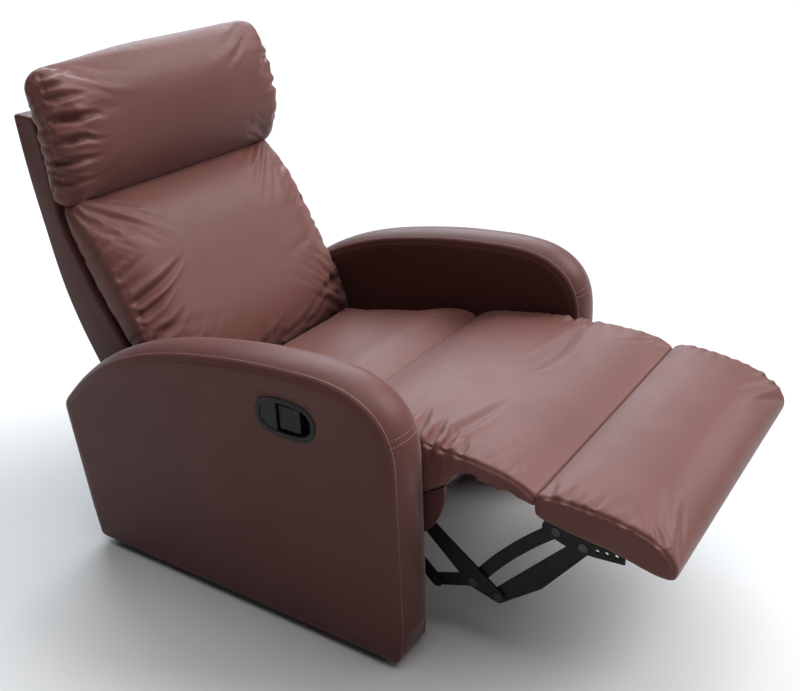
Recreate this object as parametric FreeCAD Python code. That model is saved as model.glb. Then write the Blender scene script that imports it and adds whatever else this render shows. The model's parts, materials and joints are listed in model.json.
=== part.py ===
"""Recliner armchair with two padded arms, a pull-handle release, a lifting footrest and a reclining back.

The chair is shown with its footrest out and its back part-reclined, which is the rest pose.
Frame: +X to the sitter's left, +Y to the back, +Z up, millimetres. The origin is on the floor, under
the middle of the chair's outline. Most profiles are drawn in a side view as (depth, height), where
depth is measured backwards from the front edge of the arms, and height is measured from the floor.

Each footrest linkage is a double parallelogram. Its cranks hang from two pivots on the seat plate, its
bars keep their direction, and the footrest bracket turns with the cranks. The footrest therefore turns
about one fixed point, the fold centre, which lies in the top surface of the leg-rest cushion.
"""
import FreeCAD
import Part
import math
import os

os.makedirs("parts", exist_ok=True)
Vec = FreeCAD.Vector

# ---------------------------------------------------------------- driving dimensions
WIDTH = 800.0            # over the two arms
ARM_THICK = 95.0
ARM_FRONT = -235.0       # y of the arms' front edge
FOOT_HEIGHT = 15.0       # the glides under the arms
COVER = 10.0             # leather cover with its foam, on the arm frame
ARM_FRAME_BAND = 26.0    # width of the arm frame's timber ring
PAD_HALF = 300.0         # half width of the cushions that lie between the arms
STEEL = 4.0              # thickness of the linkage plates

ARM_OUT = WIDTH / 2
ARM_IN = ARM_OUT - ARM_THICK

# linkage layers: distance from the chair's middle plane to each plate's inner face
LAYER_BAR = 274.0
LAYER_CRANK = 279.5
LAYER_SEAT_PLATE = 285.0
LINK_RADIUS = 12.0
FRONT_BAR_RADIUS = 14.0
FRONT_BAR_BELLY = 12.0      # how far the front bar swells out at the middle
BOOM_BOW = 8.0              # how far the boom link's long arm bows out
PIN_RADIUS = 4.0
PIN_CLEARANCE = 0.05
OPEN_PIN_CLEARANCE = 0.6     # the loop is opened at the footrest bracket
HEAD_RADIUS = 8.0
HEAD_THICK = 1.2

# pivots in the side view (depth, height)
FOLD_CENTRE = (-117.5, 422.5)
BRACKET_PIVOTS = ((-235.0, 312.0), (-283.0, 299.0))
CRANK_PIVOT = (32.5, 262.5)
GUIDE_PIVOT = (107.5, 235.5)
BACK_PIVOT = (630.0, 235.0)
SIDES = (("left", 1), ("right", -1))

# the seat deck slopes down to the back
DECK_FRONT_HEIGHT = 305.0
DECK_SLOPE = 0.085
SEAT_RAIL_HEIGHT = 22.0

# the footrest board slopes down to the front
BOARD_REAR = (-220.0, 350.0)
BOARD_SLOPE = 0.175
BOARD_THICK = 12.0

# the glide track on each side of the base
TRACK_FRONT, TRACK_REAR = 100.0, 690.0
TRACK_LOW, TRACK_HIGH = 166.0, 194.0
TRACK_WALL = 2.0
TRACK_WEB = 3.0
SHOE_DEPTHS = (190.0, 520.0)
SHOE_LENGTH = 46.0

# the recessed pull handle in the right arm
HANDLE = (210.0, 449.0)
HANDLE_HALF = (64.0, 37.0)
HANDLE_RIM = 9.0
HANDLE_PROUD = 2.0
CUP_DEPTH = 25.0
CUP_WALL = 2.5
PADDLE_HINGE_DEPTH = 222.0
PADDLE_FRONT_DEPTH = 180.0
PADDLE_HALF_HEIGHT = 22.0
POCKET_REAR_DEPTH = 228.5    # behind this the cup is a flush plate


# ---------------------------------------------------------------- helpers
def at(x, depth, height):
    return Vec(x, ARM_FRONT + depth, height)


def plus(p, q):
    return (p[0] + q[0], p[1] + q[1])


def minus(p, q):
    return (p[0] - q[0], p[1] - q[1])


def span(x0, x1, side=1):
    """The lower of two x values, and their distance, on the given side of the chair."""
    low, high = sorted((x0 * side, x1 * side))
    return low, high - low


def outline_face(x, runs):
    """A flat face at x. Each run is a list of side-view points: two are a line, more are a smooth curve."""
    edges = []
    for run in runs:
        points = [at(x, d, h) for d, h in run]
        if len(points) == 2:
            edges.append(Part.LineSegment(points[0], points[1]).toShape())
        else:
            curve = Part.BSplineCurve()
            curve.interpolate(points)
            edges.append(curve.toShape())
    return Part.Face(Part.Wire(edges))


def prism(runs, x0, x1, side=1):
    low, length = span(x0, x1, side)
    return outline_face(low, runs).extrude(Vec(length, 0, 0))


def polygon(points):
    """The runs of a closed polygon."""
    return [[points[i], points[(i + 1) % len(points)]] for i in range(len(points))]


def block(x0, x1, d0, d1, h0, h1, side=1):
    low, length = span(x0, x1, side)
    return Part.makeBox(length, d1 - d0, h1 - h0, at(low, d0, h0))


def pin(p, r, x0, x1, side=1):
    """A cylinder along X through the side-view point p."""
    low, length = span(x0, x1, side)
    return Part.makeCylinder(r, length, at(low, *p), Vec(1, 0, 0))


def plate(points, r, x0, x1, side=1):
    """A flat link: the outline of circles of radius r round two points, or an anticlockwise triangle."""
    low, length = span(x0, x1, side)
    edges = []
    n = len(points)
    normals = []
    for i in range(n):
        d, h = minus(points[(i + 1) % n], points[i])
        size = math.hypot(d, h)
        normals.append((h / size, -d / size))
    for i in range(n):
        a, b = points[i], points[(i + 1) % n]
        here, after = normals[i], normals[(i + 1) % n]
        start = at(low, a[0] + here[0] * r, a[1] + here[1] * r)
        end = at(low, b[0] + here[0] * r, b[1] + here[1] * r)
        edges.append(Part.LineSegment(start, end).toShape())
        middle = plus(here, after)
        size = math.hypot(*middle)
        middle = (middle[0] / size, middle[1] / size) if size > 1e-6 else (-here[1], here[0])
        over = at(low, b[0] + middle[0] * r, b[1] + middle[1] * r)
        last = at(low, b[0] + after[0] * r, b[1] + after[1] * r)
        edges.append(Part.Arc(end, over, last).toShape())
    return Part.Face(Part.Wire(edges)).extrude(Vec(length, 0, 0))


def bowed_bar(a, b, bow, r, x0, x1, side=1):
    """A flat link of half width r with round ends at a and b. Its middle bows out to the left of a to b."""
    low, length = span(x0, x1, side)
    chord = minus(b, a)
    half = math.hypot(*chord) / 2
    left = (-chord[1] / (2 * half), chord[0] / (2 * half))
    radius = (half ** 2 + bow ** 2) / (2 * bow)
    centre = ((a[0] + b[0]) / 2 + left[0] * (bow - radius), (a[1] + b[1]) / 2 + left[1] * (bow - radius))

    def off(p, shift):
        ray = minus(p, centre)
        share = (radius + shift) / radius
        return at(low, centre[0] + ray[0] * share, centre[1] + ray[1] * share)

    def tip(p, sign):
        ray = minus(p, centre)
        return at(low, p[0] - sign * ray[1] / radius * r, p[1] + sign * ray[0] / radius * r)

    middle = (centre[0] + left[0] * radius, centre[1] + left[1] * radius)
    edges = [
        Part.Arc(off(a, r), off(middle, r), off(b, r)).toShape(),
        Part.Arc(off(b, r), tip(b, -1), off(b, -r)).toShape(),
        Part.Arc(off(b, -r), off(middle, -r), off(a, -r)).toShape(),
        Part.Arc(off(a, -r), tip(a, 1), off(a, r)).toShape(),
    ]
    return Part.Face(Part.Wire(edges)).extrude(Vec(length, 0, 0))


OVAL_FLATNESS = 3.0          # half height less end radius: small values make a squarer oval


def oval(centre, half, x0, x1):
    """A prism along X with the outline of an oval: two round ends joined by two long shallow arcs."""
    low, length = span(x0, x1)
    end_radius = half[1] - OVAL_FLATNESS
    reach = half[0] - end_radius
    long_radius = end_radius + (reach ** 2 + OVAL_FLATNESS ** 2) / (2 * OVAL_FLATNESS)
    turn = math.atan2(long_radius - half[1], reach)
    join = (reach + end_radius * math.cos(turn), end_radius * math.sin(turn))

    def spot(d, h):
        return at(low, centre[0] + d, centre[1] + h)

    edges = [
        Part.Arc(spot(join[0], -join[1]), spot(half[0], 0), spot(*join)).toShape(),
        Part.Arc(spot(*join), spot(0, half[1]), spot(-join[0], join[1])).toShape(),
        Part.Arc(spot(-join[0], join[1]), spot(-half[0], 0), spot(-join[0], -join[1])).toShape(),
        Part.Arc(spot(-join[0], -join[1]), spot(0, -half[1]), spot(join[0], -join[1])).toShape(),
    ]
    return Part.Face(Part.Wire(edges)).extrude(Vec(length, 0, 0))


def drilled(solid, points, r, x0, x1, side=1):
    for p in points:
        solid = solid.cut(pin(p, r, x0, x1, side))
    return solid


def rivet(p, x0, x1, side=1):
    """A pivot pin through plates from x0 to x1, with a domed head outside each."""
    shank = pin(p, PIN_RADIUS, x0, x1, side)
    outer = pin(p, HEAD_RADIUS, x1, x1 + HEAD_THICK, side)
    inner = pin(p, HEAD_RADIUS, x0 - HEAD_THICK, x0, side)
    return shank.fuse(outer).fuse(inner)


def save(name, *solids):
    shape = solids[0] if len(solids) == 1 else Part.makeCompound(list(solids))
    if not shape.isValid():
        raise ValueError(name + " is not a valid solid")
    shape.exportStep("parts/" + name + ".step")


def deck(depth):
    return DECK_FRONT_HEIGHT - DECK_SLOPE * depth


def board_top(depth):
    return BOARD_REAR[1] + BOARD_SLOPE * (depth - BOARD_REAR[0])


# ---------------------------------------------------------------- arms
ARM_TOP = [(4.0, 402.0), (35.0, 490.0), (125.0, 530.0), (300.0, 525.0), (485.0, 495.0), (669.0, 422.0),
           (790.0, 319.0)]


def arm_outline(inset, bottom):
    """The arm's side view, drawn in by inset all round except at the bottom."""
    top = []
    for i, p in enumerate(ARM_TOP):
        before = ARM_TOP[max(i - 1, 0)]
        after = ARM_TOP[min(i + 1, len(ARM_TOP) - 1)]
        if i == 0:
            before = (4.0, 380.0)
        if i == len(ARM_TOP) - 1:
            after = (805.0, 290.0)
        d, h = minus(after, before)
        size = math.hypot(d, h)
        top.append((p[0] + h / size * inset, p[1] - d / size * inset))
    front = (inset, bottom)
    rear = (751.0 - inset, bottom)
    return [[front, top[0]], top, [top[-1], rear], [rear, front]]


BOLT_DEPTHS = (140.0, 430.0, 674.0)
BOLT_HEIGHT = 180.0
BOLT_RADIUS = 4.0
CABLE_EXIT_HEIGHT = 210.0
CABLE_DEPTH = 252.0
CABLE_RADIUS = 2.5


def arms():
    """Each arm: a hollow leather cover over a timber ring frame with one slat for the track bolts."""
    for name, side in SIDES:
        outer = prism(arm_outline(0, FOOT_HEIGHT), ARM_IN, ARM_OUT, side)
        cavity = prism(arm_outline(COVER, FOOT_HEIGHT - 1), ARM_IN + COVER, ARM_OUT - COVER, side)
        cover = outer.cut(cavity)
        bolts = [(d, BOLT_HEIGHT) for d in BOLT_DEPTHS]
        cover = drilled(cover, bolts, BOLT_RADIUS + 0.2, ARM_IN - 1, ARM_IN + COVER + 1, side)
        x0, x1 = ARM_IN + COVER + 0.2, ARM_OUT - COVER - 0.2
        ring = prism(arm_outline(COVER + 0.3, FOOT_HEIGHT), x0, x1, side)
        hollow = prism(arm_outline(COVER + ARM_FRAME_BAND, FOOT_HEIGHT + ARM_FRAME_BAND), x0 - 1, x1 + 1, side)
        slat = block(x0, x1, 20, 740, BOLT_HEIGHT - 20, BOLT_HEIGHT + 20, side)
        frame = ring.cut(hollow).fuse(slat).removeSplitter()
        frame = drilled(frame, bolts, BOLT_RADIUS + 0.2, x0 - 1, x0 + 30, side)
        if name == "right":
            inset = HANDLE_RIM - CUP_WALL - 0.3
            mouth = (HANDLE_HALF[0] - inset, HANDLE_HALF[1] - inset)
            cover = cover.cut(oval(HANDLE, mouth, -ARM_OUT - 1, -ARM_OUT + COVER + 1))
            exit_hole = (CABLE_DEPTH, CABLE_EXIT_HEIGHT)
            cover = drilled(cover, [exit_hole], CABLE_RADIUS + 0.6, ARM_IN - 1, ARM_IN + COVER + 1, side)
        save("arm_cover_" + name, cover)
        save("arm_frame_" + name, frame)


def feet():
    x = ARM_OUT - ARM_THICK / 2
    for name, side in SIDES:
        for place, depth in (("front", 60.0), ("rear", 690.0)):
            save("foot_" + place + "_" + name, Part.makeCone(18, 22, FOOT_HEIGHT, at(x * side, depth, 0)))


# ---------------------------------------------------------------- base
CROSS_TUBE = 22.0
TUBE_WALL = 1.6


def base_frame():
    """The two track rails, the cross tubes between them, and the bolts that hold the arms on."""
    middle = (TRACK_LOW + TRACK_HIGH) / 2
    mouth = ARM_IN - 14.0
    for name, side in SIDES:
        bar = block(mouth, ARM_IN, TRACK_FRONT, TRACK_REAR, TRACK_LOW, TRACK_HIGH, side)
        slot = block(mouth - 1, ARM_IN - TRACK_WEB, TRACK_FRONT - 1, TRACK_REAR + 1,
                     TRACK_LOW + TRACK_WALL, TRACK_HIGH - TRACK_WALL, side)
        track = bar.cut(slot)
        bolts = [(d, BOLT_HEIGHT) for d in BOLT_DEPTHS]
        save("track_rail_" + name, drilled(track, bolts, BOLT_RADIUS + 0.2, ARM_IN - 5, ARM_IN + 1, side))
    for name, depth in (("front", 325.0), ("rear", 636.0)):
        half = CROSS_TUBE / 2
        reach = ARM_IN - TRACK_WEB
        tube = block(-reach, reach, depth, depth + CROSS_TUBE, middle - half, middle + half)
        bore = block(-reach - 1, reach + 1, depth + TUBE_WALL, depth + CROSS_TUBE - TUBE_WALL,
                     middle - half + TUBE_WALL, middle + half - TUBE_WALL)
        save("base_cross_tube_" + name, tube.cut(bore))
    bolts = []
    for _, side in SIDES:
        for depth in BOLT_DEPTHS:
            p = (depth, BOLT_HEIGHT)
            shank = pin(p, BOLT_RADIUS, ARM_IN - TRACK_WEB, ARM_IN + COVER + 24, side)
            head = pin(p, 8.0, ARM_IN - TRACK_WEB - 4, ARM_IN - TRACK_WEB, side)
            bolts.append(shank.fuse(head))
    save("arm_bolts", *bolts)


# ---------------------------------------------------------------- release handle
def release_handle():
    """The recessed cup in the right arm, and the paddle that swings out of it on a vertical pin."""
    face = -ARM_OUT
    mouth = (HANDLE_HALF[0] - HANDLE_RIM, HANDLE_HALF[1] - HANDLE_RIM)
    wall = (mouth[0] + CUP_WALL, mouth[1] + CUP_WALL)
    rim = oval(HANDLE, HANDLE_HALF, face - HANDLE_PROUD, face)
    body = oval(HANDLE, wall, face - 0.1, face + CUP_DEPTH)
    pocket = oval(HANDLE, mouth, face - HANDLE_PROUD - 1, face + CUP_DEPTH - CUP_WALL)
    front = block(face - 10, face + CUP_DEPTH, 100, POCKET_REAR_DEPTH, HANDLE[1] - 50, HANDLE[1] + 50)
    plate_recess = oval(HANDLE, mouth, face - HANDLE_PROUD - 1, face - HANDLE_PROUD + 1.2)
    cup = rim.fuse(body).cut(pocket.common(front)).cut(plate_recess)
    hinge_x = face + 6.0
    hinge = at(hinge_x, PADDLE_HINGE_DEPTH, HANDLE[1])
    pivot_half = mouth[1] + 1.0
    low = Vec(hinge.x, hinge.y, HANDLE[1] - pivot_half)
    pivot = Part.makeCylinder(1.6, 2 * pivot_half, low)
    cup = cup.cut(Part.makeCylinder(1.65, 2 * pivot_half, low))
    cup_back = face + CUP_DEPTH
    cable_hole = pin((CABLE_DEPTH, HANDLE[1]), CABLE_RADIUS + 0.3, cup_back - CUP_WALL - 1, cup_back + 1)
    cup = cup.cut(cable_hole)
    save("handle_cup", cup)
    save("handle_pivot_pin", pivot)
    foot = Vec(hinge.x, hinge.y, HANDLE[1] - PADDLE_HALF_HEIGHT)
    barrel = Part.makeCylinder(4.0, 2 * PADDLE_HALF_HEIGHT, foot)
    leaf = block(face + 2.5, face + 6.0, PADDLE_FRONT_DEPTH, PADDLE_HINGE_DEPTH,
                 HANDLE[1] - PADDLE_HALF_HEIGHT, HANDLE[1] + PADDLE_HALF_HEIGHT)
    lip = block(face + 2.5, face + 12.0, PADDLE_FRONT_DEPTH, PADDLE_FRONT_DEPTH + 3.5,
                HANDLE[1] - PADDLE_HALF_HEIGHT, HANDLE[1] + PADDLE_HALF_HEIGHT)
    paddle = leaf.fuse(barrel).fuse(lip).removeSplitter()
    paddle = paddle.cut(Part.makeCylinder(1.7, 100, Vec(hinge.x, hinge.y, HANDLE[1] - 50)))
    save("release_paddle", paddle)


def release_cable():
    """The cable in its housing: out of the back of the cup, down inside the arm, out to the latch bracket."""
    y = ARM_FRONT + CABLE_DEPTH
    start, drop, end = -ARM_OUT + CUP_DEPTH - CUP_WALL, -345.0, -ARM_IN + 1.0
    top, low, bend = HANDLE[1], CABLE_EXIT_HEIGHT, 24.0
    slant = bend * (1 - math.sqrt(0.5))
    path = Part.Wire([
        Part.LineSegment(Vec(start, y, top), Vec(drop - bend, y, top)).toShape(),
        Part.Arc(Vec(drop - bend, y, top), Vec(drop - slant, y, top - slant), Vec(drop, y, top - bend)).toShape(),
        Part.LineSegment(Vec(drop, y, top - bend), Vec(drop, y, low + bend)).toShape(),
        Part.Arc(Vec(drop, y, low + bend), Vec(drop + slant, y, low + slant), Vec(drop + bend, y, low)).toShape(),
        Part.LineSegment(Vec(drop + bend, y, low), Vec(end, y, low)).toShape(),
    ])
    section = Part.Wire([Part.Circle(Vec(start, y, top), Vec(1, 0, 0), CABLE_RADIUS).toShape()])
    cable = path.makePipeShell([section], True, True)
    ideal = math.pi * CABLE_RADIUS ** 2 * path.Length
    print("release cable bend radius:", bend, "volume over length times section:", round(cable.Volume / ideal, 4))
    save("release_cable", cable)


def latch_bracket():
    """A steel tab on the right track rail, which holds the lower end of the cable."""
    tab = block(ARM_IN - 3, ARM_IN, CABLE_DEPTH - 16, CABLE_DEPTH + 16, TRACK_HIGH, TRACK_HIGH + 30, -1)
    hole = (CABLE_DEPTH, CABLE_EXIT_HEIGHT)
    save("latch_bracket", drilled(tab, [hole], CABLE_RADIUS + 0.3, ARM_IN - 4, ARM_IN + 1, -1))


# ---------------------------------------------------------------- seat
SIDE_PANEL_IN = 290.5
SIDE_PANEL_THICK = 9.0
CUSHION_SPLIT = 225.0
NOTCH_LOW = 346.0


def seat_structure():
    """The seat's side plates, timber rails, glide shoes, pivot rivets, front apron and side panels."""
    plate_points = [(12, 246), (12, deck(12) - 2), (655, deck(655) - 2), (655, 215), (566, 212), (566, 172),
                    (520, 172), (520, 212), (236, 222), (236, 172), (190, 172), (190, 214), (85, 214), (50, 240),
                    (25, 242)]
    x0, x1 = LAYER_SEAT_PLATE, LAYER_SEAT_PLATE + STEEL
    shoes, rivets = [], []
    for name, side in SIDES:
        seat_plate = prism(polygon(plate_points), x0, x1, side)
        holes = [CRANK_PIVOT, GUIDE_PIVOT, BACK_PIVOT]
        save("seat_plate_" + name, drilled(seat_plate, holes, PIN_RADIUS + 0.01, x0 - 1, x1 + 1, side))
        rail = [(12, deck(12) - SEAT_RAIL_HEIGHT), (592, deck(592) - SEAT_RAIL_HEIGHT), (592, deck(592)),
                (12, deck(12))]
        save("seat_side_rail_" + name, prism(polygon(rail), 262, LAYER_SEAT_PLATE, side))
        for depth in SHOE_DEPTHS:
            shoes.append(block(x1, ARM_IN - TRACK_WEB - 0.5, depth, depth + SHOE_LENGTH,
                               TRACK_LOW + TRACK_WALL + 0.4, TRACK_HIGH - TRACK_WALL - 0.4, side))
        rivets += [rivet(p, LAYER_CRANK, x1, side) for p in holes]
    save("glide_shoes", *shoes)
    save("seat_pivot_rivets", *rivets)
    rails = []
    for d0 in (12.0, 570.0):
        d1 = d0 + SEAT_RAIL_HEIGHT
        low = [(d0, deck(d0) - SEAT_RAIL_HEIGHT), (d1, deck(d1) - SEAT_RAIL_HEIGHT)]
        rail = low + [(d1, deck(d1)), (d0, deck(d0))]
        rails.append(prism(polygon(rail), -262, 262))
    save("seat_cross_rails", *rails)
    save("seat_front_apron", block(-262, 262, 9.5, 11.5, 268, deck(12)))
    for name, side in SIDES:
        nose = [(20, deck(20) - 1), (-37, NOTCH_LOW - 7), (-38, 318), (-30, 285), (-12, 250), (8, 232)]
        tail = [(nose[-1], (560, 232)), ((560, 232), (560, deck(560) - 1)), ((560, deck(560) - 1), nose[0])]
        runs = [[nose[0], nose[1]], nose[1:]] + [list(run) for run in tail]
        save("seat_side_panel_" + name, prism(runs, SIDE_PANEL_IN, SIDE_PANEL_IN + SIDE_PANEL_THICK, side))


SPRING_WIRE = 1.9
SPRING_HALF_WIDTH = 24.0
SPRING_BENDS = 14


def spring_path(pitch):
    """A flat sinuous line along +Y: half rings, alternately to each side, joined by straight runs."""
    r = pitch / 2
    turn_x = SPRING_HALF_WIDTH - r
    edges = []
    here = Vec(0, 0, 0)
    side = 1
    for _ in range(SPRING_BENDS):
        start = Vec(side * turn_x, here.y, 0)
        end = Vec(side * turn_x, here.y + pitch, 0)
        edges.append(Part.LineSegment(here, start).toShape())
        edges.append(Part.Arc(start, Vec(side * SPRING_HALF_WIDTH, here.y + r, 0), end).toShape())
        here = end
        side = -side
    edges.append(Part.LineSegment(here, Vec(0, here.y, 0)).toShape())
    return Part.Wire(edges)


def seat_springs():
    """Five sinuous springs under the deck, between the front and rear rails."""
    front, rear, drop = 36.0, 568.0, 7.0
    run = math.hypot(rear - front, deck(front) - deck(rear))
    tilt = -math.degrees(math.atan(DECK_SLOPE))
    path = spring_path(run / SPRING_BENDS)
    section = Part.Wire([Part.Circle(Vec(0, 0, 0), Vec(1, 0, 0), SPRING_WIRE).toShape()])
    spring = path.makePipeShell([section], True, True)
    springs = []
    for x in (-208, -104, 0, 104, 208):
        copy = spring.copy()
        slope = FreeCAD.Rotation(Vec(1, 0, 0), tilt)
        copy.Placement = FreeCAD.Placement(at(x, front, deck(front) - drop), slope)
        springs.append(copy)
    save("seat_springs", *springs)


def seat_cushions():
    """The seat cushion, and the leg-rest cushion in front of it, which is notched where the footrest folds."""
    rear = [(CUSHION_SPLIT + 1, deck(CUSHION_SPLIT + 1) + 0.3), (595, deck(595) + 0.3)]
    top = [(595, 306), (560, 312), (460, 336), (330, 362), (CUSHION_SPLIT + 1, 378)]
    save("seat_cushion", prism([rear, [rear[1], top[0]], top, [top[-1], rear[0]]], -PAD_HALF, PAD_HALF))
    fold_d, fold_h = FOLD_CENTRE
    front = [
        [(CUSHION_SPLIT - 1, deck(CUSHION_SPLIT - 1) + 0.3), (CUSHION_SPLIT - 1, 378)],
        [(CUSHION_SPLIT - 1, 378), (100, 411), (0, 420), (fold_d + 2, fold_h)],
        [(fold_d + 2, fold_h), (-43, NOTCH_LOW)],
        [(-43, NOTCH_LOW), (20, deck(20) + 0.3)],
        [(20, deck(20) + 0.3), (CUSHION_SPLIT - 1, deck(CUSHION_SPLIT - 1) + 0.3)],
    ]
    save("front_cushion", prism(front, -PAD_HALF, PAD_HALF))


# ---------------------------------------------------------------- footrest
SCREW_DEPTHS = (-240.0, -325.0)
SCREW_RADIUS = 2.2
FLANGE_THICK = 3.0


def screw_axis(x, depth):
    """The place where a screw enters the flange from below, and its direction into the board."""
    up = Vec(0, -BOARD_SLOPE, 1).normalize()
    return at(x, depth, board_top(depth)) - up * (BOARD_THICK + FLANGE_THICK), up


def board_screw(x, depth):
    point, up = screw_axis(x, depth)
    head = Part.makeCylinder(5.0, 2.4, point - up * 2.4, up)
    return head.fuse(Part.makeCylinder(SCREW_RADIUS, FLANGE_THICK + 8.0, point, up))


def screw_holes(solid, side):
    for depth in SCREW_DEPTHS:
        point, up = screw_axis((LAYER_CRANK - 12) * side, depth)
        solid = solid.cut(Part.makeCylinder(SCREW_RADIUS, FLANGE_THICK + 8.0, point, up))
    return solid


def footrest():
    """The padded board, the cushion that bridges the fold, and the two brackets with their fixings."""
    fold_d, fold_h = FOLD_CENTRE
    joint = -212.0
    bridge = [
        [(fold_d - 2, fold_h), (-160, 419), (joint + 1, 404)],
        [(joint + 1, 404), (joint + 1, board_top(joint) + 0.3)],
        [(joint + 1, board_top(joint) + 0.3), (-192, NOTCH_LOW + 1)],
        [(-192, NOTCH_LOW + 1), (fold_d - 2, fold_h)],
    ]
    save("bridge_cushion", prism(bridge, -PAD_HALF, PAD_HALF))
    nose = (-428.0, board_top(-428.0) + 0.3)
    heel = (joint - 1, board_top(joint - 1) + 0.3)
    pad = [
        [heel, (joint - 1, 403)],
        [(joint - 1, 403), (-300, 399), (-390, 380), (-424, 355), (-435, 332)],
        [(-435, 332), nose],
        [nose, heel],
    ]
    save("footrest_cushion", prism(pad, -308, 308))
    d0, d1 = BOARD_REAR[0], -420.0
    thick = BOARD_THICK * math.hypot(1, BOARD_SLOPE)
    board = [(d1, board_top(d1) - thick), (d0, board_top(d0) - thick), (d0, board_top(d0)),
             (d1, board_top(d1))]
    plank = prism(polygon(board), -290, 290)
    for _, side in SIDES:
        plank = screw_holes(plank, side)
    save("footrest_board", plank)
    screws, rivets = [], []
    tab_holes = ((-306, 301), (-322, 302), (-338, 303))
    for name, side in SIDES:
        under = [board_top(d) - thick for d in (-218, -352)]
        web = [(-352, 292), (-302, 288), (-262, 288), (-214, 304), (-210, 316), (-218, under[0]),
               (-352, under[1])]
        x0, x1 = LAYER_CRANK, LAYER_CRANK + STEEL
        bracket = prism(polygon(web), x0, x1, side)
        drop = FLANGE_THICK * math.hypot(1, BOARD_SLOPE)
        flange = [(-352, under[1] - drop), (-218, under[0] - drop), (-218, under[0]), (-352, under[1])]
        bracket = bracket.fuse(prism(polygon(flange), x0 - 24, x0 + 1, side)).removeSplitter()
        bracket = screw_holes(bracket, side)
        bracket = drilled(bracket, BRACKET_PIVOTS, PIN_RADIUS + 0.01, x0 - 1, x1 + 1, side)
        save("footrest_bracket_" + name, drilled(bracket, tab_holes, 3.5, x0 - 1, x1 + 1, side))
        rivets += [rivet(p, LAYER_BAR, x1, side) for p in BRACKET_PIVOTS]
        screws += [board_screw((x0 - 12) * side, depth) for depth in SCREW_DEPTHS]
    save("footrest_rivets", *rivets)
    save("footrest_screws", *screws)


# ---------------------------------------------------------------- linkage
TUBE_RADIUS = 9.0


def belly(low_end, high_end):
    """The point to which the front bar swells, below the middle of its axis."""
    d, h = minus(high_end, low_end)
    size = math.hypot(d, h)
    across = FRONT_BAR_BELLY / size
    return (low_end[0] + 0.4 * d - h * across, low_end[1] + 0.4 * h + d * across)


def linkage():
    """Cranks, guides and bars. Each bar is the fixed vector from a crank hole to the bracket hole."""
    arms_of_crank = [minus(p, FOLD_CENTRE) for p in BRACKET_PIVOTS]
    crank_holes = [plus(CRANK_PIVOT, a) for a in arms_of_crank]
    guide_hole = plus(GUIDE_PIVOT, arms_of_crank[0])
    reach = LINK_RADIUS
    c0, c1 = LAYER_CRANK, LAYER_CRANK + STEEL
    b0, b1 = LAYER_BAR, LAYER_BAR + STEEL
    running = PIN_RADIUS + PIN_CLEARANCE
    crank_rivets = []
    for name, side in SIDES:
        crank = plate([CRANK_PIVOT, crank_holes[1], crank_holes[0]], reach, c0, c1, side)
        crank = drilled(crank, [CRANK_PIVOT], running, c0 - 1, c1 + 1, side)
        save("lift_crank_" + name, drilled(crank, crank_holes, PIN_RADIUS + 0.01, c0 - 1, c1 + 1, side))
        guide = plate([GUIDE_PIVOT, guide_hole], reach, c0, c1, side)
        guide = drilled(guide, [GUIDE_PIVOT], running, c0 - 1, c1 + 1, side)
        guide = drilled(guide, [guide_hole], PIN_RADIUS + 0.01, c0 - 1, c1 + 1, side)
        save("guide_crank_" + name, guide)
        save("guide_rivet_" + name, rivet(guide_hole, b0, c1, side))
        long_arm = bowed_bar(BRACKET_PIVOTS[0], crank_holes[0], BOOM_BOW, reach, b0, b1, side)
        leg = plate([crank_holes[0], guide_hole], reach, b0, b1, side)
        boom = long_arm.fuse(leg).removeSplitter()
        boom = drilled(boom, [crank_holes[0]], running, b0 - 1, b1 + 1, side)
        open_ends = [guide_hole, BRACKET_PIVOTS[0]]
        boom = drilled(boom, open_ends, PIN_RADIUS + OPEN_PIN_CLEARANCE, b0 - 1, b1 + 1, side)
        save("boom_link_" + name, boom)
        bar = plate([BRACKET_PIVOTS[1], belly(crank_holes[1], BRACKET_PIVOTS[1]), crank_holes[1]],
                    FRONT_BAR_RADIUS, b0, b1, side)
        bar = drilled(bar, [crank_holes[1]], running, b0 - 1, b1 + 1, side)
        bar = drilled(bar, [BRACKET_PIVOTS[1]], PIN_RADIUS + OPEN_PIN_CLEARANCE, b0 - 1, b1 + 1, side)
        save("front_bar_" + name, bar)
        crank_rivets += [rivet(p, b0, c1, side) for p in crank_holes]
    save("crank_rivets", *crank_rivets)
    tube_end = LAYER_CRANK - HEAD_THICK - 0.3
    tube = pin(CRANK_PIVOT, TUBE_RADIUS, -tube_end, tube_end)
    save("torque_tube", tube.cut(pin(CRANK_PIVOT, TUBE_RADIUS - TUBE_WALL, -tube_end - 1, tube_end + 1)))


# ---------------------------------------------------------------- back
BACK_SEAM = [(652, 290), (697, 423), (757, 516), (798, 595), (830, 670), (845, 780), (857, 868)]
BRACKET_KNEE = (686.0, 336.0)
BRACKET_TOP = (724.0, 426.0)
BACK_REAR = [(905, 863), (898, 757), (879, 645), (856, 540), (814, 430), (760, 330), (722, 262)]


COVER_WALL = 8.0
BACK_RAIL_THICK = 24.0
LUMBAR_HALF = 300.0
HEAD_HALF = 312.0


def shifted(points, d, h=0.0):
    return [(p[0] + d, p[1] + h) for p in points]


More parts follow.
